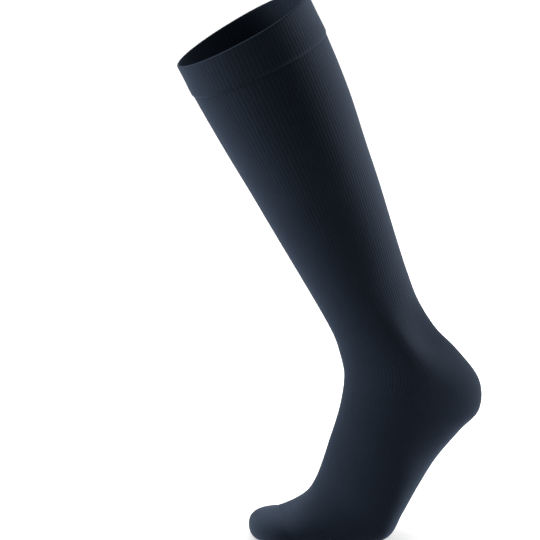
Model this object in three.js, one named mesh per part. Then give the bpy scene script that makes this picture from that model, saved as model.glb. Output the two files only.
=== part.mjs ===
// A knee-high compression stocking in ribbed knit, filled out as if worn, standing on its toes.
// Millimetres, +Z up. The toes point to -X and the heel to +X, and Y = 0 is the mirror plane.
// The origin is the middle of the top opening, where the leg holds the stocking up.
import * as THREE from "three";

// Fabric
const KNIT_WALL = 1.5; // single knit of the leg, heel, foot and toe
const WELT_WALL = 2.6; // the same knit turned over double, with the elastic inside
const WELT_PROUD = 0.5; // how far the welt stands out over the leg
const SEAM_GAP = 0.3; // between two pieces that are knitted or linked together
const RIBS = 108; // upright ribs round the welt and leg, half of them running on over the instep
const RIB_DEPTH = 0.2; // how far the valley between two ribs lies below their crests

// Facets
const AROUND = 48;
const STEP = (2 * Math.PI) / AROUND;
const LEG_RINGS = 12;
const HEEL_RINGS = 8;
const FOOT_RINGS = 12;
const TOE_RINGS = 3;
const CAP_RINGS = 7;
const WELT_RINGS = 2;
const FOLD_STEPS = 4;

// The level that the ball and the toes stand on, and the foremost point of the toes.
const FLOOR_Z = -432;
const TOE_TIP = { x: 5.5, z: -423.5 };

// Cross-sections from the top opening down to the toe box. Each lies in a plane through a point on
// the shin, instep or toe-top line (front) and one on the calf, heel or sole line (back).
// Its widest place lies at the share `widest` of the way from front to back, and it rounds off
// as a superellipse on either side of it: power 2 is an ellipse, less is pointed, more is boxy.
const COLUMNS = ["frontX", "frontZ", "backX", "backZ", "width", "widest", "frontPower", "backPower"];
const SECTION_TABLE = {
  rim: [-54, -28.4, 53.2, 31.2, 113, 0.57, 2, 2],
  weltEnd: [-38.3, -58.5, 71, -7, 109, 0.56, 2, 2],
  calf: [-14.9, -100, 88.4, -50.5, 106, 0.55, 2, 2],
  lowCalf: [5.2, -134, 103.2, -96, 98, 0.55, 2, 2],
  midLeg: [26, -170, 114, -128.5, 87, 0.53, 2, 1.95],
  shin: [50.2, -211.5, 129.4, -179, 77, 0.51, 1.95, 1.85],
  lowShin: [65.7, -238.5, 139, -208.5, 69, 0.5, 1.85, 1.65],
  ankle: [76.4, -259, 147.7, -230.5, 65, 0.54, 1.85, 1.5],
  ankleBone: [81.7, -275, 162.1, -253.5, 68, 0.57, 1.85, 1.45],
  tendon: [84.8, -288.5, 181.1, -273.5, 70, 0.55, 1.85, 1.45],
  heelTop: [85, -299, 199.3, -299, 69, 0.46, 1.85, 1.5],
  heel: [83.6, -309.5, 199.6, -324.5, 68, 0.44, 1.9, 1.6],
  heelSole: [81.2, -321.5, 183.3, -342, 68, 0.5, 1.9, 1.75],
  arch: [77.8, -333.5, 163.8, -364, 71, 0.57, 1.85, 1.9],
  midFoot: [72.7, -349, 148.5, -386, 77, 0.68, 1.8, 2.2],
  foreFoot: [66.9, -367.5, 134.8, -408, 85, 0.74, 1.8, 2.4],
  ball: [61.2, -382.3, 121.3, -428, 91, 0.76, 1.85, 2.6],
  toeBend: [54, -394.2, 97, FLOOR_Z, 94, 0.74, 2.05, 2.8],
  toes: [42, -404.3, 62.5, FLOOR_Z, 93, 0.64, 2.35, 3],
  toeBox: [31.5, -409.6, 41.5, FLOOR_Z, 90, 0.58, 2.5, 2.8],
};
const ROWS = Object.keys(SECTION_TABLE);
const SECTIONS = Object.values(SECTION_TABLE).map((row) =>
  Object.fromEntries(COLUMNS.map((column, i) => [column, row[i]])),
);
const LAST_ROW = ROWS.length - 1;

// Places along the stocking are counted in rows of the table, and one more row rounds off the toes.
const rowOf = (name) => ROWS.indexOf(name);
const WELT_END = rowOf("weltEnd") - 0.08;
const TIP = LAST_ROW + 1;

// The heel pocket starts and ends at a point on each side of the ankle, and is deepest at the back.
const HEEL_PIVOT = rowOf("heelTop") + 0.3;
const HEEL_TOP = rowOf("ankleBone") + 0.4;
const HEEL_BOTTOM = rowOf("heelSole") + 0.6;
const HEEL_HALF_ANGLE = Math.PI / 2;
const HEEL_CORNER_ANGLE = THREE.MathUtils.degToRad(88.5);

// The toe pocket reaches further back under the sole than over the toes.
const TOE_LINE_SIDE = rowOf("toes") - 0.5;
const TOE_LINE_SLANT = 0.7;

// How round the toes are: in plan, over the top and under the tip.
const PLAN_POWER = 2.8;
const PROFILE_POWER = 2.8;
const LENGTH_POWER = 2.3;

// Catmull-Rom blend of the rows on either side of a place.
function blend(column, place) {
  const i = Math.min(Math.floor(place), LAST_ROW - 1);
  const t = place - i;
  const value = (k) => SECTIONS[THREE.MathUtils.clamp(k, 0, LAST_ROW)][column];
  const [before, from, to, after] = [value(i - 1), value(i), value(i + 1), value(i + 2)];
  return (
    from +
    0.5 * t * (to - before) +
    0.5 * t * t * (2 * before - 5 * from + 4 * to - after) +
    0.5 * t * t * t * (3 * from - before - 3 * to + after)
  );
}

// The section at any place; past the last row it shrinks round the toes to the tip.
function sectionAt(place) {
  const section = {};
  for (const column of COLUMNS) section[column] = blend(column, Math.min(place, LAST_ROW));
  if (place <= LAST_ROW) return section;
  const turn = (Math.PI / 2) * (place - LAST_ROW);
  const shrink = (power) => Math.max(Math.cos(turn), 0) ** (2 / power);
  const forward = Math.sin(turn) ** (2 / LENGTH_POWER);
  for (const side of ["front", "back"]) {
    section[side + "X"] += (TOE_TIP.x - section[side + "X"]) * forward;
    section[side + "Z"] = TOE_TIP.z + (section[side + "Z"] - TOE_TIP.z) * shrink(PROFILE_POWER);
  }
  section.width *= shrink(PLAN_POWER);
  return section;
}

// A point of the outer face. Angle 0 is the back or sole, half a turn is the front or instep.
function outerPoint(place, angle) {
  const s = sectionAt(place);
  const [across, side] = [Math.cos(angle), Math.sin(angle)];
  const power = across < 0 ? s.frontPower : s.backPower;
  const reach = Math.sign(across) * Math.abs(across) ** (2 / power);
  const half = across < 0 ? s.widest : 1 - s.widest;
  const share = s.widest + half * reach;
  return new THREE.Vector3(
    THREE.MathUtils.lerp(s.frontX, s.backX, share),
    (s.width / 2) * Math.sign(side) * Math.abs(side) ** (2 / power),
    THREE.MathUtils.lerp(s.frontZ, s.backZ, share),
  );
}

// The way out of the fabric at a point of the outer face, from its neighbours on the face.
const NEAR = 0.04;
const STEEPEST = 0.35;
function outward(place, angle) {
  if (place > TIP - NEAR) return new THREE.Vector3(-1, 0, 0);
  const above = outerPoint(Math.max(place - NEAR, 0), angle);
  const below = outerPoint(Math.min(place + NEAR, TIP), angle);
  const left = outerPoint(place, angle - NEAR);
  const right = outerPoint(place, angle + NEAR);
  return new THREE.Vector3().crossVectors(right.sub(left), above.sub(below)).normalize();
}

// The fabric sinks softly on each side of the heel tendon. The bump is 1 in the middle and falls to 0
// at an offset of 1 either way.
const HOLLOW = { depth: 3, place: rowOf("ankleBone") + 0.1, length: 1.9 };
const HOLLOW_TURN = THREE.MathUtils.degToRad(38);
const HOLLOW_HALF_TURN = THREE.MathUtils.degToRad(34);
const turned = (angle) => Math.abs(Math.atan2(Math.sin(angle), Math.cos(angle)));
const bump = (offset) => (1 - Math.min(Math.abs(offset), 1) ** 2) ** 2;
function hollow(place, angle) {
  const along = bump((place - HOLLOW.place) / HOLLOW.length);
  return HOLLOW.depth * along * bump((turned(angle) - HOLLOW_TURN) / HOLLOW_HALF_TURN);
}

// A point at a depth below the outer face; a negative depth stands proud of it.
function wallPoint(place, angle, depth) {
  const sunk = depth + hollow(place, angle);
  return outerPoint(place, angle).addScaledVector(outward(place, angle), -sunk);
}

// The place that lies some millimetres further down the stocking along its face.
function further(place, angle, distance) {
  const stretch = outerPoint(place + NEAR, angle).distanceTo(outerPoint(place, angle)) / NEAR;
  return place + distance / stretch;
}

// The lines where one piece ends and the next begins.
const heelBulge = (angle) => (turned(angle) < HEEL_HALF_ANGLE ? Math.cos(turned(angle)) : 0);
const weltLine = () => WELT_END;
const heelTopLine = (angle) => HEEL_PIVOT + (HEEL_TOP - HEEL_PIVOT) * heelBulge(angle);
const heelSoleLine = (angle) => HEEL_PIVOT + (HEEL_BOTTOM - HEEL_PIVOT) * heelBulge(angle);
const toeLine = (angle) => TOE_LINE_SIDE - TOE_LINE_SLANT * Math.cos(angle);
const before = (line) => (angle) => beside(line, angle, -SEAM_GAP / 2);
const after = (line) => (angle) => beside(line, angle, SEAM_GAP / 2);

// The place at a distance square to a line, which may slant across the stocking.
function beside(line, angle, distance) {
  const place = line(angle);
  const along = outerPoint(place + NEAR, angle).sub(outerPoint(place, angle));
  const seam = outerPoint(line(angle + NEAR), angle + NEAR);
  seam.sub(outerPoint(line(angle - NEAR), angle - NEAR));
  const slant = Math.max(Math.sin(along.angleTo(seam)), STEEPEST);
  return place + (distance * NEAR) / (along.length() * slant);
}

// Angles round the stocking. Plain stretches have steps that close up towards the heel's corners,
// and ribbed ones have an angle at each crest and one at each valley.
const RIB_STEP = Math.PI / RIBS;
const steps = (from, step, count) => Array.from({ length: count }, (_, j) => from + step * j);
const backQuarter = [
  ...steps(0, STEP, AROUND / 4),
  (HEEL_HALF_ANGLE - STEP + HEEL_CORNER_ANGLE) / 2,
  HEEL_CORNER_ANGLE,
];
const otherQuarter = backQuarter.slice(1).reverse();
const backHalf = (front) => [...backQuarter, ...front, ...otherQuarter.map((a) => 2 * Math.PI - a)];
const plainTurn = backHalf(steps(Math.PI / 2, STEP, AROUND / 2 + 1));
const instepTurn = backHalf(steps(Math.PI / 2, RIB_STEP, RIBS + 1));
const heelTurn = [...otherQuarter.map((angle) => -angle), ...backQuarter];
const ribbedTurn = steps(0, RIB_STEP, 2 * RIBS);
const toeTurn = backHalf(steps(Math.PI / 2, STEP / 2, AROUND + 1));
const isValley = (angle) => Math.round(angle / RIB_STEP) % 2 === 1;
const onInstep = (angle) => angle > Math.PI / 2 && angle < 1.5 * Math.PI;
const plainest = (angle) =>
  plainTurn.reduce((best, a) => (turned(a - angle) < turned(best - angle) ? a : best));
const plainAngles = (angles) => (angles === heelTurn ? angles : angles.map(plainest));
const ringsAt = (angles, rings) => rings.map((ring) => angles.map((angle) => ring(angle)));

// Rings of one face between two lines, as functions of the angle.
function faceRings(start, end, depth, count) {
  return Array.from({ length: count + 1 }, (_, i) => (angle) =>
    wallPoint(THREE.MathUtils.lerp(start(angle), end(angle), i / count), angle, depth(angle)),
  );
}

// A ribbed face lies at its depth on the crests and RIB_DEPTH lower in the valleys.
function ribbed(depth) {
  return (angle) => depth + (isValley(angle) ? RIB_DEPTH : 0);
}

// A wall as one closed profile: the outer face down, at the angles given, and the plain inner
// face back up.
function wall(start, end, count, angles, outerDepth) {
  return [
    ...ringsAt(angles, faceRings(start, end, outerDepth, count)),
    ...ringsAt(plainAngles(angles), faceRings(start, end, () => KNIT_WALL, count).reverse()),
  ];
}

// One closed surface through rings of points. Rings close on the first; `around` says whether the
// points of a ring close too, or end in a flat edge of the fabric. A ring of one point is a tip,
// and neighbours in a ring that lie on one spot are one point.
function closedSurface(rings, around) {
  const points = [];
  const number = (point, ring) => {
    const same = [ring[0], ring.at(-1)].find((k) => k !== undefined && points[k].equals(point));
    return same ?? points.push(point) - 1;
  };
  const numbers = rings.map((ring) =>
    ring.reduce((done, point) => [...done, number(point, done)], []),
  );
  const triangles = [];
  const triangle = (a, b, c) => {
    if (a !== b && b !== c && c !== a) triangles.push(a, b, c);
  };
  const quad = (a, b, c, d) => {
    const crossed = points[a].distanceTo(points[c]) > points[b].distanceTo(points[d]);
    triangle(a, b, crossed ? d : c);
    triangle(crossed ? b : a, c, d);
  };
  const last = stepsRound(rings, around);
  const at = (ring, j) => ring[ring.length === 1 ? 0 : j % ring.length];
  numbers.forEach((ring, i) => {
    const next = numbers[(i + 1) % numbers.length];
    for (let j = 0; j < last; j += 1) quad(at(ring, j), at(next, j), at(next, j + 1), at(ring, j + 1));
  });
  if (!around) {
    const half = numbers.length / 2;
    for (let i = 0; i < half - 1; i += 1) {
      const [outer, outerNext] = [numbers[i], numbers[i + 1]];
      const [inner, innerNext] = [numbers[2 * half - 1 - i], numbers[2 * half - 2 - i]];
      quad(outer[0], inner[0], innerNext[0], outerNext[0]);
      quad(outer[last], outerNext[last], innerNext[last], inner[last]);
    }
  }
  const geometry = new THREE.BufferGeometry().setFromPoints(points);
  geometry.setIndex(triangles);
  geometry.computeVertexNormals();
  return geometry;
}

// How many steps a ring has: as many as its points when it closes, one less when it doesn't.
function stepsRound(rings, around) {
  const most = Math.max(...rings.map((ring) => ring.length));
  return around ? most : most - 1;
}

// The welt: the top of the leg turned over double, round at its fold.
function weltGeometry() {
  const start = () => further(0, 0, WELT_WALL / 2);
  const middle = WELT_WALL / 2 - WELT_PROUD;
  const innerDepth = () => WELT_WALL - WELT_PROUD;
  const outer = faceRings(start, before(weltLine), ribbed(-WELT_PROUD), WELT_RINGS);
  const inner = faceRings(start, before(weltLine), innerDepth, WELT_RINGS);
  const axis = new THREE.Vector3();
  const fold = Array.from({ length: FOLD_STEPS - 1 }, (_, i) => (angle) => {
    const turn = (Math.PI * (i + 1)) / FOLD_STEPS;
    const top = wallPoint(start(), angle, middle);
    axis.copy(wallPoint(0, angle, middle)).sub(top).normalize();
    return top
      .addScaledVector(outward(start(), angle), (-WELT_WALL / 2) * Math.cos(turn))
      .addScaledVector(axis, (WELT_WALL / 2) * Math.sin(turn));
  });
  const plainRings = ringsAt(plainAngles(ribbedTurn), [...inner.reverse(), ...fold]);
  return closedSurface([...ringsAt(ribbedTurn, outer), ...plainRings], true);
}

// The leg: a ribbed tube from the welt to the ankle, hollowed at the back for the heel pocket.
function legGeometry() {
  const rings = wall(after(weltLine), before(heelTopLine), LEG_RINGS, ribbedTurn, ribbed(0));
  return closedSurface(rings, true);
}

// The heel: a pocket over the back half, which comes to a corner on each side of the ankle.
function heelGeometry() {
  const rings = wall(after(heelTopLine), before(heelSoleLine), HEEL_RINGS, heelTurn, () => 0);
  return closedSurface(rings, false);
}

// The foot: ribbed instep and plain sole in one tube, from the ankle to the toe line.
function footGeometry() {
  const outerDepth = (angle) => (onInstep(angle) ? ribbed(0)(angle) : 0);
  const rings = wall(after(heelSoleLine), before(toeLine), FOOT_RINGS, instepTurn, outerDepth);
  return closedSurface(rings, true);
}

// The toe: a closed pocket, open only where it meets the foot.
function toeGeometry() {
  const layer = (depth) => {
    const body = faceRings(after(toeLine), () => LAST_ROW, () => depth, TOE_RINGS);
    const cap = faceRings(() => LAST_ROW, () => TIP, () => depth, CAP_RINGS).slice(1, -1);
    const tip = new THREE.Vector3(TOE_TIP.x + depth, 0, TOE_TIP.z);
    return [...ringsAt(toeTurn, [...body, ...cap]), [tip]];
  };
  return closedSurface([...layer(0), ...layer(KNIT_WALL).reverse()], true);
}

const plainKnit = new THREE.MeshStandardMaterial({ color: "#26354a", roughness: 0.9, metalness: 0 });
const ribbedKnit = new THREE.MeshStandardMaterial({ color: "#22304a", roughness: 0.92, metalness: 0 });

const stocking = new THREE.Group();
stocking.name = "compression_stocking";
const pieces = [
  ["welt", weltGeometry(), ribbedKnit],
  ["leg", legGeometry(), ribbedKnit],
  ["heel", heelGeometry(), plainKnit],
  ["foot", footGeometry(), plainKnit],
  ["toe", toeGeometry(), plainKnit],
];
for (const [name, geometry, material] of pieces) {
  const mesh = new THREE.Mesh(geometry, material);
  mesh.name = name;
  stocking.add(mesh);
}

export default stocking;
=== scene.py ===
# %% [markdown]
# # A knee-high compression stocking
# The stocking is knitted in one round: a doubled welt at the top, a ribbed leg, a plain heel pocket, a
# foot that is ribbed over the instep and plain under the sole, and a plain toe pocket. Elastic yarn
# pulls it smooth, so its shape is one long tube of sections, and what the eye reads is the fine ribs,
# the welt's edge, the linked toe and the soft sheen of the yarn along the outline.

# %% Load the frame
import bpy
import bmesh
import math
import numpy as np
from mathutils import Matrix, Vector


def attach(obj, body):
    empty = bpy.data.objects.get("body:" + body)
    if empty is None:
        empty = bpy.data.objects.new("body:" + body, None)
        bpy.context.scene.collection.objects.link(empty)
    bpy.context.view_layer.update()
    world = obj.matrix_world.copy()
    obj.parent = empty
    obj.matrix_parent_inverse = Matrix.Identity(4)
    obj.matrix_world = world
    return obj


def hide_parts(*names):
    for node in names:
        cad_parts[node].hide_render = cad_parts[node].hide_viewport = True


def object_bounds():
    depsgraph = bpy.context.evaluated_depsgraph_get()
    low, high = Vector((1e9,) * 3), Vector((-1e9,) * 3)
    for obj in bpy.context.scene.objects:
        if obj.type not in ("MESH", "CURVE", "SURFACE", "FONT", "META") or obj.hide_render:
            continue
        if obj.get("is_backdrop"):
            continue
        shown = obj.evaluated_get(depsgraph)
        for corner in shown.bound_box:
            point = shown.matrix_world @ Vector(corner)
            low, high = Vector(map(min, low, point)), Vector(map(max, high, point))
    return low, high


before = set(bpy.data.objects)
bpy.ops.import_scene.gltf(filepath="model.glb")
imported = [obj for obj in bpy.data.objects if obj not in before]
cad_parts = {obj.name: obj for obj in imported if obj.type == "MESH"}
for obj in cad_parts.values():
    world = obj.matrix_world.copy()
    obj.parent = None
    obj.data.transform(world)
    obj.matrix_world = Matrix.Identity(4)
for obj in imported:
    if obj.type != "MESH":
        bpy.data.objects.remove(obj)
cad_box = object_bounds()
print("nodes:", sorted(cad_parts))

# %% [markdown]
# ## The camera
# A long lens far away flattens the view, as a catalogue picture does, and it keeps both edges of the
# leg nearly parallel. The camera looks slightly down into the top opening and comes a little from the
# side of the toes. It could be aimed with a constraint, but a plain position and rotation stay put when
# the script is rerun.

# %% Camera
CAMERA_TURN = math.radians(-5)
CAMERA_RISE = math.radians(11.7)
CAMERA_DISTANCE = 4.0
CAMERA_TARGET = Vector((0.0228, 0, -0.202))
SENSOR_WIDTH = 36
LENS = 320

away = Vector((
    math.sin(CAMERA_TURN) * math.cos(CAMERA_RISE),
    -math.cos(CAMERA_TURN) * math.cos(CAMERA_RISE),
    math.sin(CAMERA_RISE),
))
camera_data = bpy.data.cameras.new("camera")
camera_data.sensor_width = SENSOR_WIDTH
camera_data.lens = LENS
camera_data.clip_end = 100
camera = bpy.data.objects.new("camera", camera_data)
camera.location = CAMERA_TARGET + CAMERA_DISTANCE * away
camera.rotation_euler = (-away).to_track_quat("-Z", "Y").to_euler()
bpy.context.scene.collection.objects.link(camera)
bpy.context.scene.camera = camera
print("camera at", [round(value, 3) for value in camera.location])

# %% [markdown]
# ## The shape of the stocking
# Every piece lies on one surface, so that surface is written down once: a short table of cross-sections
# from the rim to the toe box, and a smooth curve through them. A section lies between a point on the
# shin or instep line (front) and one on the calf, heel or sole line (back), and rounds off as a
# superellipse on either side of its widest place. Sculpting could give the same form, but a table keeps
# both sides alike and lets the ribs follow the wales exactly.

# %% Cross-sections
MM = 0.001
FLOOR = -432
COLUMNS = ("front_x", "front_z", "back_x", "back_z", "width", "widest", "front_power", "back_power")
SECTIONS = {
    "rim": (-54, -28.4, 53.2, 31.2, 113, 0.57, 2, 2),
    "welt_end": (-38.3, -58.5, 71, -7, 109, 0.56, 2, 2),
    "calf": (-14.9, -100, 88.4, -50.5, 106, 0.55, 2, 2),
    "low_calf": (5.2, -134, 103.2, -96, 98, 0.55, 2, 2),
    "mid_leg": (26, -170, 114, -128.5, 87, 0.53, 2, 1.95),
    "shin": (50.2, -211.5, 129.4, -179, 77, 0.51, 1.95, 1.85),
    "low_shin": (65.7, -238.5, 139, -208.5, 69, 0.5, 1.85, 1.65),
    "ankle": (76.4, -259, 147.7, -230.5, 65, 0.54, 1.85, 1.5),
    "ankle_bone": (81.7, -275, 162.1, -253.5, 68, 0.57, 1.85, 1.45),
    "tendon": (84.8, -288.5, 181.1, -273.5, 70, 0.55, 1.85, 1.45),
    "heel_top": (85, -299, 199.3, -299, 69, 0.46, 1.85, 1.5),
    "heel": (83.6, -309.5, 199.6, -324.5, 68, 0.44, 1.9, 1.6),
    "heel_sole": (81.2, -321.5, 183.3, -342, 68, 0.5, 1.9, 1.75),
    "arch": (77.8, -333.5, 163.8, -364, 71, 0.57, 1.85, 1.9),
    "mid_foot": (72.7, -349, 148.5, -386, 77, 0.68, 1.8, 2.2),
    "fore_foot": (66.9, -367.5, 134.8, -408, 85, 0.74, 1.8, 2.4),
    "ball": (61.2, -382.3, 121.3, -428, 91, 0.76, 1.85, 2.6),
    "toe_bend": (54, -394.2, 97, FLOOR, 94, 0.74, 2.05, 2.8),
    "toes": (42, -404.3, 62.5, FLOOR, 93, 0.64, 2.35, 3),
    "toe_box": (31.5, -409.6, 41.5, FLOOR, 90, 0.58, 2.5, 2.8),
}
ROWS = list(SECTIONS)
TABLE = np.array([SECTIONS[row] for row in ROWS], dtype=float)
LAST_ROW = len(ROWS) - 1
TIP = LAST_ROW + 1
TOE_TIP_X = 5.5
TOE_TIP_Z = -423.5
PLAN_POWER = 2.8
PROFILE_POWER = 2.8
LENGTH_POWER = 2.3


def blend(place):
    """Each column of the table at places counted in rows, on a smooth curve through the rows."""
    i = np.minimum(place.astype(int), LAST_ROW - 1)
    t = (place - i)[:, None]
    before, start, end, after = (TABLE[np.clip(i + k, 0, LAST_ROW)] for k in (-1, 0, 1, 2))
    bend = 2 * before - 5 * start + 4 * end - after
    twist = 3 * start - before - 3 * end + after
    return start + 0.5 * t * (end - before) + 0.5 * t**2 * bend + 0.5 * t**3 * twist


def section_at(place):
    """The section at each place; past the last row it rounds off the toes."""
    row = dict(zip(COLUMNS, blend(np.minimum(place, LAST_ROW)).T))
    turn = math.pi / 2 * np.clip(place - LAST_ROW, 0, 1)
    shrink = np.cos(turn).clip(0)
    forward = np.sin(turn) ** (2 / LENGTH_POWER)
    for side in ("front", "back"):
        row[side + "_x"] += (TOE_TIP_X - row[side + "_x"]) * forward
        row[side + "_z"] = TOE_TIP_Z + (row[side + "_z"] - TOE_TIP_Z) * shrink ** (2 / PROFILE_POWER)
    row["width"] *= shrink ** (2 / PLAN_POWER)
    return row


def rounded(value, power):
    return np.sign(value) * np.abs(value) ** (2 / power)


def outer_point(place, angle):
    """Points of the outer face in metres. Angle 0 is the back or sole, half a turn the front."""
    row = section_at(place)
    across = np.cos(angle)
    in_front = across < 0
    power = np.where(in_front, row["front_power"], row["back_power"])
    half = np.where(in_front, row["widest"], 1 - row["widest"])
    share = row["widest"] + half * rounded(across, power)
    x = row["front_x"] + (row["back_x"] - row["front_x"]) * share
    y = row["width"] / 2 * rounded(np.sin(angle), power)
    z = row["front_z"] + (row["back_z"] - row["front_z"]) * share
    return np.stack((x, y, z), axis=-1) * MM


NEAR = 0.04


def directions(place, angle):
    """The unit directions out of the fabric and up along it."""
    up = outer_point(np.maximum(place - NEAR, 0), angle) - outer_point(np.minimum(place + NEAR, TIP), angle)
    round_it = outer_point(place, angle + NEAR) - outer_point(place, angle - NEAR)
    out = np.cross(round_it, up)
    out[place > TIP - NEAR] = (-1, 0, 0)
    return (
        out / np.linalg.norm(out, axis=1, keepdims=True),
        up / np.linalg.norm(up, axis=1, keepdims=True),
    )


print("sections:", len(ROWS))

# %% [markdown]
# ## Where the pieces meet
# The lines between the pieces are formulas of the angle round the stocking. The heel pocket is a lens
# that comes to a point on each side of the ankle, and the toe line slants, because the pocket reaches
# further back under the sole than over the toes.

# %% Lines between the pieces
WELT_END = ROWS.index("welt_end") - 0.08
HEEL_PIVOT = ROWS.index("heel_top") + 0.3
HEEL_TOP = ROWS.index("ankle_bone") + 0.4
HEEL_BOTTOM = ROWS.index("heel_sole") + 0.6
TOE_LINE_SIDE = ROWS.index("toes") - 0.5
TOE_LINE_SLANT = 0.7


def turned(angle):
    """How far an angle lies from the back or sole, from 0 to half a turn."""
    return np.abs(np.arctan2(np.sin(angle), np.cos(angle)))


def heel_bulge(angle):
    return np.cos(turned(angle)).clip(0)


def heel_top_line(angle):
    return HEEL_PIVOT + (HEEL_TOP - HEEL_PIVOT) * heel_bulge(angle)


def heel_sole_line(angle):
    return HEEL_PIVOT + (HEEL_BOTTOM - HEEL_PIVOT) * heel_bulge(angle)


def toe_line(angle):
    return TOE_LINE_SIDE - TOE_LINE_SLANT * np.cos(angle)


def level(place):
    """A line that runs straight round the stocking."""
    return lambda angle: np.full_like(angle, place)


# %% [markdown]
# ## The ribs
# The leg is knitted in a fine rib: a column of stitches stands up, the next one lies back. The columns
# keep their number all the way down, so they crowd at the ankle, run on over the instep and fade out
# into the plain heel, sole and toe. Bump could draw them, but they should be in the mesh itself too, so
# they are real waves in the surface, very shallow ones, because the knit is stretched.

# %% Ribs
RIBS = 108
RIB_DEPTH = 0.08
INSTEP_EDGE = math.radians(88)
INSTEP_FADE = math.radians(16)
VALLEY_SEED = 4
VALLEY_PHASES = np.random.default_rng(VALLEY_SEED).uniform(0, 2 * math.pi, RIBS)
VALLEY_CHANGE = 1.1
VALLEY_LEAST = 0.4
HEEL_FADE = 0.5
TOE_FADE = 0.9


def ease(value):
    """A smooth step from 0 to 1."""
    value = np.clip(value, 0, 1)
    return value * value * (3 - 2 * value)


def rib_strength(place, angle):
    """How strongly the ribs stand: full on the leg and instep, none on the heel, sole and toe."""
    on_leg = ease((heel_top_line(angle) - place) / HEEL_FADE)
    on_instep = ease((turned(angle) - INSTEP_EDGE) / INSTEP_FADE)
    before_toe = ease((toe_line(angle) - place) / TOE_FADE)
    return np.maximum(on_leg, on_instep) * before_toe


def rib_valley(place, angle):
    """Depth of the valleys between the ribs, in millimetres. Each valley deepens and fades by itself."""
    phase = VALLEY_PHASES[np.floor(RIBS * angle / (2 * math.pi)).astype(int) % RIBS]
    uneven = 0.5 + 0.5 * np.sin(phase + VALLEY_CHANGE * place)
    depth = RIB_DEPTH * (VALLEY_LEAST + (1 - VALLEY_LEAST) * uneven)
    return depth * (0.5 - 0.5 * np.cos(RIBS * angle)) * rib_strength(place, angle)


print("ribs round the leg:", RIBS)

# %% [markdown]
# ## The hollow behind the ankle
# On any leg form the fabric sinks a little on each side of the heel tendon. It is one soft dent in the
# surface: a bump function along the leg times one round it, which is mirrored to the other side.

# %% Hollow behind the ankle
HOLLOW_DEPTH = 3
HOLLOW_PLACE = ROWS.index("ankle_bone") + 0.1
HOLLOW_LENGTH = 1.9
HOLLOW_TURN = math.radians(38)
HOLLOW_HALF_TURN = math.radians(34)


def bump(offset):
    """1 in the middle, falling softly to 0 at an offset of 1 either way."""
    return (1 - np.clip(offset, -1, 1) ** 2) ** 2


def hollow(place, angle):
    """Depth of the dent beside the tendon, in millimetres."""
    along = bump((place - HOLLOW_PLACE) / HOLLOW_LENGTH)
    around = bump((turned(angle) - HOLLOW_TURN) / HOLLOW_HALF_TURN)
    return HOLLOW_DEPTH * along * around


# %% [markdown]
# ## One way to make every piece
# Each piece starts as a flat grid, as knitted cloth would lie on a table: its columns are the wales and
# its rows the courses. The grid is wrapped onto the surface by moving its points, and the edges that
# meet are merged, so the piece becomes a closed thin shell. The same could be lofted ring by ring, but a
# grid also gives a UV map whose U counts ribs and whose V counts metres, which the knit follows.
# A profile lists the grid's rows: the share of the way from the piece's first line to its last, the
# depth below the outer face, and how far the row lies above its line, in millimetres.

# %% Wrap a grid onto the stocking
POINTS_PER_RIB = 6
FULL_TURN = (0, 2 * math.pi)
MERGE = 1e-6
SHARP = math.radians(50)


def wrap(name, profile, first, last, turn=FULL_TURN, relief=None, ribbed=True):
    """A closed shell on the stocking between two lines. A profile row is share, depth, rise."""
    share, depth, rise = np.array(profile, dtype=float).T
    columns = round(RIBS * POINTS_PER_RIB * (turn[1] - turn[0]) / (2 * math.pi))
    rows = len(profile) - 1
    grid = bmesh.new()
    bmesh.ops.create_grid(grid, x_segments=columns, y_segments=rows, size=1)
    mesh = bpy.data.meshes.new(name)
    grid.to_mesh(mesh)
    grid.free()

    flat = np.empty(len(mesh.vertices) * 3)
    mesh.vertices.foreach_get("co", flat)
    flat = flat.reshape(-1, 3)
    column = np.rint((flat[:, 0] + 1) / 2 * columns)
    row = np.rint((flat[:, 1] + 1) / 2 * rows).astype(int)
    angle = turn[0] + (turn[1] - turn[0]) * column / columns
    place = first(angle) + (last(angle) - first(angle)) * share[row]
    sunk = depth[row] + hollow(place, angle)
    if ribbed:
        inward = (depth - depth.min()) / (depth.max() - depth.min())
        sunk = sunk + rib_valley(place, angle) * (1 - inward[row])
    if relief is not None:
        sunk = sunk + relief(place, angle)
    out, up = directions(place, angle)
    points = outer_point(place, angle) - out * (sunk * MM)[:, None] + up * (rise[row] * MM)[:, None]
    mesh.vertices.foreach_set("co", points.ravel())

    steps = np.linalg.norm(np.diff(points[np.argsort(column, kind="stable")][: rows + 1], axis=0), axis=1)
    down = np.concatenate(([0], np.cumsum(steps)))
    corner = np.empty(len(mesh.loops), dtype=int)
    mesh.loops.foreach_get("vertex_index", corner)
    knit = np.stack((RIBS * angle / (2 * math.pi), down[row]), axis=-1)[corner]
    mesh.uv_layers.new(name="knit").data.foreach_set("uv", knit.ravel())

    shell = bmesh.new()
    shell.from_mesh(mesh)
    bmesh.ops.remove_doubles(shell, verts=shell.verts, dist=MERGE)
    bmesh.ops.recalc_face_normals(shell, faces=shell.faces)
    for face in shell.faces:
        face.smooth = True
    for edge in shell.edges:
        edge.smooth = edge.calc_face_angle(0) < SHARP
    shell.to_mesh(mesh)
    shell.free()
    piece = bpy.data.objects.new(name, mesh)
    bpy.context.scene.collection.objects.link(piece)
    print(name, "faces:", len(mesh.polygons), "area:", round(sum(f.area for f in mesh.polygons), 4))
    return piece


def face_rows(count, depth, start=0.0, end=1.0):
    """Profile rows evenly spaced down one face."""
    return [(start + (end - start) * i / count, depth, 0) for i in range(count + 1)]


# %% [markdown]
# ## The leg
# The leg is a single thickness of knit, about a millimetre. Its outer face takes most of the rows, and
# the inner face, which hardly shows, only a few. It ends on the heel line behind and runs into the
# instep in front.

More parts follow.
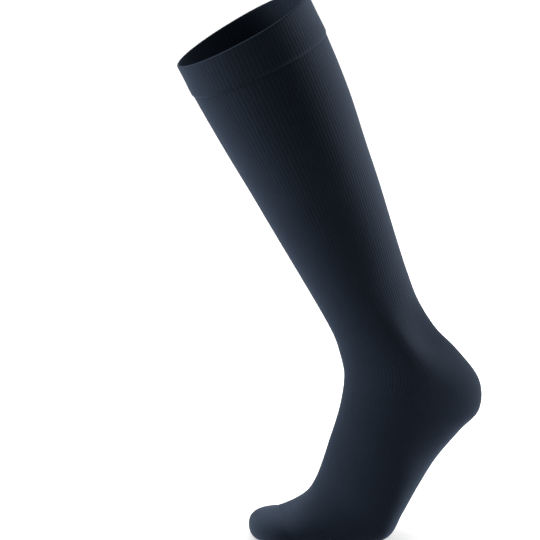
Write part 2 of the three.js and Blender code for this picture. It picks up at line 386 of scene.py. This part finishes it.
# %% Leg
KNIT = 1.0
LEG_ROWS = 110
INNER_ROWS = 10


def tube_profile(outer_rows):
    """Down the outer face, round the edge, up the inner face and back to the start."""
    outer = face_rows(outer_rows, 0)
    inner = face_rows(INNER_ROWS, KNIT, start=1, end=0)
    return outer + inner + outer[:1]


leg = wrap("leg_knit", tube_profile(LEG_ROWS), level(WELT_END), heel_top_line)

# %% [markdown]
# ## The heel pocket
# The heel is knitted back and forth on half the needles, which gives a cup. It is a half turn of the
# same surface, and its rows close to a point on each side of the ankle.

# %% Heel
HEEL_ROWS = 50
BACK_HALF = (-math.pi / 2, math.pi / 2)

heel = wrap("heel_knit", tube_profile(HEEL_ROWS), heel_top_line, heel_sole_line, turn=BACK_HALF)

# %% [markdown]
# ## The foot
# Ribs over the instep, plain knit under the sole, in one tube from the ankle to the toe line.

# %% Foot
FOOT_ROWS = 72

foot = wrap("foot_knit", tube_profile(FOOT_ROWS), heel_sole_line, toe_line)

# %% [markdown]
# ## The toe pocket
# The toe is closed in front, so its profile runs from the tip back to the toe line on the outside, and
# then forward to the tip again on the inside. Both ends of the grid close on a point.

# %% Toe
TOE_ROWS = 44
TOE_INNER_ROWS = 11

toe_outer = face_rows(TOE_ROWS, 0, start=1, end=0)
toe_inner = face_rows(TOE_INNER_ROWS, KNIT)
toe = wrap("toe_knit", toe_outer + toe_inner, toe_line, level(TIP), ribbed=False)

# %% [markdown]
# ## The toe seam
# The toe is closed by linking two rows of loops, which leaves a small ridge. It is a flat oval bead
# along the toe line, with a wave for each linked loop, and it is strongest at the sides, where the
# gusset ends, and sinks into the knit over the top of the toes.

# %% Toe seam
SEAM_HALF_WIDTH = 1.5
SEAM_HEIGHT = 0.75
SEAM_TURNS = 12
SEAM_WAVES = 162
SEAM_WAVE = 0.1
SEAM_SINK_ON_TOP = 0.7
SEAM_SINKS_FROM = math.radians(85)
SEAM_SINKS_OVER = math.radians(35)


def seam_sink(place, angle):
    """How far the bead sinks, with the wave of its loops."""
    on_top = ease((turned(angle) - SEAM_SINKS_FROM) / SEAM_SINKS_OVER)
    return SEAM_SINK_ON_TOP * on_top + SEAM_WAVE * np.cos(SEAM_WAVES * angle)


seam_profile = [
    (
        0,
        -SEAM_HEIGHT * math.sin(2 * math.pi * i / SEAM_TURNS),
        SEAM_HALF_WIDTH * math.cos(2 * math.pi * i / SEAM_TURNS),
    )
    for i in range(SEAM_TURNS + 1)
]
toe_seam = wrap("toe_seam", seam_profile, toe_line, toe_line, relief=seam_sink, ribbed=False)

# %% [markdown]
# ## The welt
# The top edge is knitted long, folded in over the elastic and linked down, so it is twice as thick,
# stands a little proud of the leg and has a round fold at the rim. Its lower edge curls in to the leg,
# which gives the fine shadow there, and a soft line of painted shade in the knit's colour darkens it
# further. The profile goes down the outside, round the lower edge, up the inside and over the fold.

# %% Welt
WELT_PROUD = 0.5
WELT_SWELL = 0.35
WELT_SWELL_MIDDLE = 0.95
WELT_SWELL_HALF = 0.35
WELT_WALL = 2.2
WELT_ROWS = 26
FOLD_ROWS = 8
CURL = 3.8
CURL_ROWS = 8
CURL_TUCK = 0.15
INNER_DEPTH = WELT_WALL - WELT_PROUD
fold_radius = WELT_WALL / 2
fold_middle = fold_radius - WELT_PROUD


def welt_swell(share):
    """The elastic at the lower end of the welt swells it a little."""
    return WELT_SWELL * float(bump((share - WELT_SWELL_MIDDLE) / WELT_SWELL_HALF))


welt_outer = face_rows(WELT_ROWS, -WELT_PROUD)
welt_outer = [(share, depth, -fold_radius * (1 - share)) for share, depth, rise in welt_outer]
welt_outer = [(share, depth - welt_swell(share), rise + CURL * share) for share, depth, rise in welt_outer]
welt_curl = [
    (
        1,
        -(WELT_PROUD + welt_swell(1)) * (1 - float(ease(i / CURL_ROWS))) + CURL_TUCK * i / CURL_ROWS,
        CURL * (1 - i / CURL_ROWS),
    )
    for i in range(1, CURL_ROWS + 1)
]
welt_inner = face_rows(INNER_ROWS, INNER_DEPTH, start=1, end=0)
welt_inner = [(share, depth, -fold_radius * (1 - share)) for share, depth, rise in welt_inner]
welt_fold = [
    (
        0,
        fold_middle + fold_radius * math.cos(math.pi * i / FOLD_ROWS),
        -fold_radius + fold_radius * math.sin(math.pi * i / FOLD_ROWS),
    )
    for i in range(1, FOLD_ROWS + 1)
]
welt = wrap("welt_knit", welt_outer + welt_curl + welt_inner + welt_fold, level(0), level(WELT_END))

# %% [markdown]
# ## The knit
# Up close, ribbed knit is columns of small V-shaped stitches, and plain knit has twice as many, finer
# ones. Both are drawn from the UV map, where U counts ribs and V is in metres. A stitch leans one way on
# the left of its column and the other way on the right, so a wave along V that is shifted by the
# distance from the column's middle gives the V. The waves go to the bump, and to painted shade in the
# colour where the yarn lies deep between the columns. A slow noise varies the dye, and a fine one the
# yarn. Along the seam where the welt is linked down, a soft line of painted shade darkens the colour and
# stands in for the shadow under the welt's edge: it lies at the end of V on the welt, and at its start
# on the leg.

# %% Knit material
def add_node(tree, kind, inputs=None, **settings):
    node = tree.nodes.new(kind)
    for key, value in settings.items():
        setattr(node, key, value)
    for key, value in (inputs or {}).items():
        if isinstance(value, bpy.types.NodeSocket):
            tree.links.new(value, node.inputs[key])
        else:
            node.inputs[key].default_value = value
    return node


def maths(tree, operation, a, b=0.0, c=0.0):
    return add_node(tree, "ShaderNodeMath", {0: a, 1: b, 2: c}, operation=operation).outputs[0]


COURSES_PER_METRE = 1050
COURSE_SHARE = 0.35
# The yarn's share of the tone is painted shade: the colour darkens where the yarn lies deep between the
# columns.
YARN_PAINTED_SHADE = 0.6
DYE_TONE = 0.4
FLUFF_TONE = 0.25
FLUFF_HEIGHT = 0.3
DYE_SCALE = 14.0
FLUFF_SCALE = 900.0
SHADE_AT = 0.1
COLOUR_AT = 0.9
# How dark the line of painted shade along the welt's linking seam gets. It stands in for the shadow under
# the welt's edge.
LINK_SHADE = 0.5
LINK_HALF_ON_WELT = 2.2 * MM
LINK_HALF_ON_LEG = 1.1 * MM


def knit_material(name, colour, shade, wales_per_rib, bump_depth, linked_at=0.0, linked_half=0.0):
    material = bpy.data.materials.new(name)
    material.use_nodes = True
    tree = material.node_tree
    tree.nodes.clear()
    uv = add_node(tree, "ShaderNodeUVMap", uv_map="knit").outputs["UV"]
    split = add_node(tree, "ShaderNodeSeparateXYZ", {"Vector": uv})
    wale = maths(tree, "MULTIPLY_ADD", split.outputs["X"], float(wales_per_rib), 0.5)
    from_middle = maths(tree, "ABSOLUTE", maths(tree, "SUBTRACT", maths(tree, "FRACT", wale), 0.5))
    course = maths(tree, "MULTIPLY", split.outputs["Y"], float(COURSES_PER_METRE))
    leaning = maths(tree, "ADD", course, from_middle)
    stitch = maths(tree, "SINE", maths(tree, "MULTIPLY", leaning, 2 * math.pi))
    column = maths(tree, "COSINE", maths(tree, "MULTIPLY", from_middle, math.pi))
    raised = maths(tree, "MULTIPLY_ADD", stitch, COURSE_SHARE, 1 - COURSE_SHARE)
    yarn = maths(tree, "MULTIPLY", raised, column)

    place = add_node(tree, "ShaderNodeTexCoord").outputs["Object"]
    dye = add_node(tree, "ShaderNodeTexNoise", {"Vector": place, "Scale": DYE_SCALE, "Detail": 3.0})
    fluff = add_node(tree, "ShaderNodeTexNoise", {"Vector": place, "Scale": FLUFF_SCALE, "Detail": 2.0})
    # Painted shade where the yarn lies deep, then the dye and fluff tone.
    tone_and_shade = maths(tree, "MULTIPLY", yarn, YARN_PAINTED_SHADE)
    tone_and_shade = maths(tree, "MULTIPLY_ADD", dye.outputs["Fac"], DYE_TONE, tone_and_shade)
    tone_and_shade = maths(tree, "MULTIPLY_ADD", fluff.outputs["Fac"], FLUFF_TONE, tone_and_shade)
    # A soft line of painted shade along the linking seam.
    if linked_half:
        from_link = maths(tree, "ABSOLUTE", maths(tree, "SUBTRACT", split.outputs["Y"], linked_at))
        past_link_shade = add_node(
            tree,
            "ShaderNodeMapRange",
            {"Value": from_link, "From Max": linked_half, "To Min": LINK_SHADE},
            interpolation_type="SMOOTHSTEP",
        )
        tone_and_shade = maths(tree, "MULTIPLY", tone_and_shade, past_link_shade.outputs["Result"])
    tint = add_node(tree, "ShaderNodeValToRGB", {"Fac": tone_and_shade})
    tint.color_ramp.elements[0].position = SHADE_AT
    tint.color_ramp.elements[0].color = (*shade, 1)
    tint.color_ramp.elements[1].position = COLOUR_AT
    tint.color_ramp.elements[1].color = (*colour, 1)
    height = maths(tree, "MULTIPLY_ADD", fluff.outputs["Fac"], FLUFF_HEIGHT, yarn)
    bump = add_node(
        tree, "ShaderNodeBump", {"Strength": 0.6, "Distance": bump_depth * MM, "Height": height}
    )
    cloth = add_node(
        tree,
        "ShaderNodeBsdfPrincipled",
        {
            "Base Color": tint.outputs["Color"],
            "Roughness": 0.85,
            "Specular IOR Level": 0.06,
            "Specular Tint": (0.5, 0.7, 1, 1),
            "Sheen Weight": 0.08,
            "Sheen Roughness": 0.5,
            "Sheen Tint": (0.45, 0.63, 1, 1),
            "Normal": bump.outputs["Normal"],
        },
    )
    add_node(tree, "ShaderNodeOutputMaterial", {"Surface": cloth.outputs["BSDF"]})
    return material


NAVY = (0.0092, 0.0135, 0.0215)
NAVY_SHADE = (0.004, 0.0058, 0.0093)
RIBBED_BUMP = 0.08
PLAIN_BUMP = 0.12
LENGTH_STEPS = 41
# The leg's ribbed knit paints the line of shade at the top of the leg, and the welt's knit paints it at the
# welt's lower end.
ribbed_knit = knit_material(
    "ribbed_knit", NAVY, NAVY_SHADE, wales_per_rib=1, bump_depth=RIBBED_BUMP, linked_half=LINK_HALF_ON_LEG
)
down_the_welt = outer_point(np.linspace(0, WELT_END, LENGTH_STEPS), np.zeros(LENGTH_STEPS))
welt_length = float(np.linalg.norm(np.diff(down_the_welt, axis=0), axis=1).sum())
welt_knit = knit_material(
    "welt_knit",
    NAVY,
    NAVY_SHADE,
    wales_per_rib=1,
    bump_depth=RIBBED_BUMP,
    linked_at=welt_length,
    linked_half=LINK_HALF_ON_WELT,
)
plain_knit = knit_material("plain_knit", NAVY, NAVY_SHADE, wales_per_rib=2, bump_depth=PLAIN_BUMP)
print("materials:", ribbed_knit.name, welt_knit.name, plain_knit.name)

# %% [markdown]
# ## Put each piece on the body
# Every piece stands for its solid in the frame and rides on the one body. The stocking is knitted
# narrower than the leg it fits, so what is stretched here is about a third wider than the knit lies
# flat. The flat cut is measured on the surface and printed: the longest way round over the stretch, the
# longest way down, and the area of one face over the stretch.

STRETCH = 1.36
CUT_STEPS_ROUND = 241
CUT_STEPS_DOWN = 41
PIECES = (
    (welt, "welt", welt_knit, "ribbed_knit", level(0), level(WELT_END), FULL_TURN, []),
    (leg, "leg", ribbed_knit, "ribbed_knit", level(WELT_END), heel_top_line, FULL_TURN, [welt]),
    (heel, "heel", plain_knit, "plain_knit", heel_top_line, heel_sole_line, BACK_HALF, [leg]),
    (foot, "foot", plain_knit, "plain_knit", heel_sole_line, toe_line, FULL_TURN, [leg, heel]),
    (toe, "toe", plain_knit, "plain_knit", toe_line, level(TIP), FULL_TURN, [foot]),
)


def flat_cut(piece, first, last, turn):
    """Width, length and area of the piece before it was stretched, all round."""
    angle, share = np.meshgrid(np.linspace(*turn, CUT_STEPS_ROUND), np.linspace(0, 1, CUT_STEPS_DOWN))
    angle, share = angle.ravel(), share.ravel()
    points = outer_point(first(angle) + (last(angle) - first(angle)) * share, angle)
    points = points.reshape(CUT_STEPS_DOWN, CUT_STEPS_ROUND, 3)
    width = np.linalg.norm(np.diff(points, axis=1), axis=2).sum(axis=1).max() / STRETCH
    length = np.linalg.norm(np.diff(points, axis=0), axis=2).sum(axis=0).max()
    area = sum(face.area for face in piece.data.polygons) / 2 / STRETCH
    return width, length, min(area, width * length)


for piece, node, material, slot, first, last, turn, knitted_to in PIECES:
    piece.data.materials.append(material)
    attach(piece, "root")
    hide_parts(node)
    width, length, area = flat_cut(piece, first, last, turn)
    print(node, "flat", round(width, 3), "x", round(length, 3), "m, area", round(area, 4))
toe_seam.data.materials.append(plain_knit)
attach(toe_seam, "root")

# %% [markdown]
# ## The studio
# The picture is a cut-out on white: soft light from both sides and a little behind, and hardly any
# from the front. A large pale floor gives the white ground and a soft fill from below, and it ends a
# little in front of the stocking, so that less of the fill comes from there. The sky is bright above and
# behind the stocking, and dark and faintly warm in front of it, as with a dim room behind the camera,
# which leaves the middle of the leg dark and its edges light. A world of one brightness is simpler,
# but it flattens the leg.

# %% Floor, lights and sky
FLOOR_HALF = 30
FLOOR_IN_FRONT = 0.45
FLOOR_BELOW = 0.0005
FLOOR_PAINT = (0.85, 0.85, 0.85, 1)
LIT_PLACE = Vector((0.07, 0, -0.2))
SKY_DARK = 0.22
SKY_FRONT_TINT = (1, 0.88, 0.72, 1)
SKY_BRIGHT = 1.6
SKY_AXIS = (0, 0.6, 0.8)
SKY_DARK_BELOW = 0.1
SKY_BRIGHT_ABOVE = 0.7
SKY_WHITE_ABOVE = 0.35

floor_grid = bmesh.new()
bmesh.ops.create_grid(floor_grid, x_segments=1, y_segments=1, size=FLOOR_HALF)
floor_place = (0, FLOOR_HALF - FLOOR_IN_FRONT, FLOOR * MM - FLOOR_BELOW)
bmesh.ops.translate(floor_grid, verts=floor_grid.verts, vec=floor_place)
floor_mesh = bpy.data.meshes.new("studio_floor")
floor_grid.to_mesh(floor_mesh)
floor_grid.free()
floor = bpy.data.objects.new("studio_floor", floor_mesh)
bpy.context.scene.collection.objects.link(floor)
floor_paint = bpy.data.materials.new("pale_floor")
floor_paint.use_nodes = True
paint_inputs = floor_paint.node_tree.nodes["Principled BSDF"].inputs
paint_inputs["Base Color"].default_value = FLOOR_PAINT
paint_inputs["Roughness"].default_value = 0.9
floor_mesh.materials.append(floor_paint)
floor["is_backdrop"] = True


def softbox(name, turn, rise, distance, size, power):
    """A square light that faces the stocking. Turn 0 is behind it, and 90 degrees is to its right."""
    way = Vector((
        math.sin(math.radians(turn)) * math.cos(math.radians(rise)),
        math.cos(math.radians(turn)) * math.cos(math.radians(rise)),
        math.sin(math.radians(rise)),
    ))
    data = bpy.data.lights.new(name, "AREA")
    data.size = size
    data.energy = power
    light = bpy.data.objects.new(name, data)
    light.location = LIT_PLACE + distance * way
    light.rotation_euler = (-way).to_track_quat("-Z", "Y").to_euler()
    bpy.context.scene.collection.objects.link(light)
    return light


softbox("left_softbox", turn=-84, rise=10, distance=2, size=0.9, power=73)
softbox("right_softbox", turn=72, rise=12, distance=2, size=0.8, power=74)

world = bpy.data.worlds.new("studio")
world.use_nodes = True
sky = world.node_tree
sky.nodes.clear()
look = add_node(sky, "ShaderNodeTexCoord").outputs["Generated"]
height = add_node(sky, "ShaderNodeVectorMath", {0: look, 1: SKY_AXIS}, operation="DOT_PRODUCT")
strength = add_node(
    sky,
    "ShaderNodeMapRange",
    {
        "Value": height.outputs["Value"],
        "From Min": SKY_DARK_BELOW,
        "From Max": SKY_BRIGHT_ABOVE,
        "To Min": SKY_DARK,
        "To Max": SKY_BRIGHT,
    },
    interpolation_type="SMOOTHSTEP",
)
sky_tint = add_node(sky, "ShaderNodeValToRGB", {"Fac": height.outputs["Value"]})
sky_tint.color_ramp.elements[0].position = SKY_DARK_BELOW
sky_tint.color_ramp.elements[0].color = SKY_FRONT_TINT
sky_tint.color_ramp.elements[1].position = SKY_WHITE_ABOVE
background = add_node(
    sky, "ShaderNodeBackground", {"Color": sky_tint.outputs["Color"], "Strength": strength.outputs["Result"]}
)
add_node(sky, "ShaderNodeOutputWorld", {"Surface": background.outputs["Background"]})
bpy.context.scene.world = world
bpy.context.scene.view_settings.view_transform = "Standard"

dressed_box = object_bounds()
grown = np.array(dressed_box) - np.array(cad_box)
print("box grew by", grown.round(4).tolist())
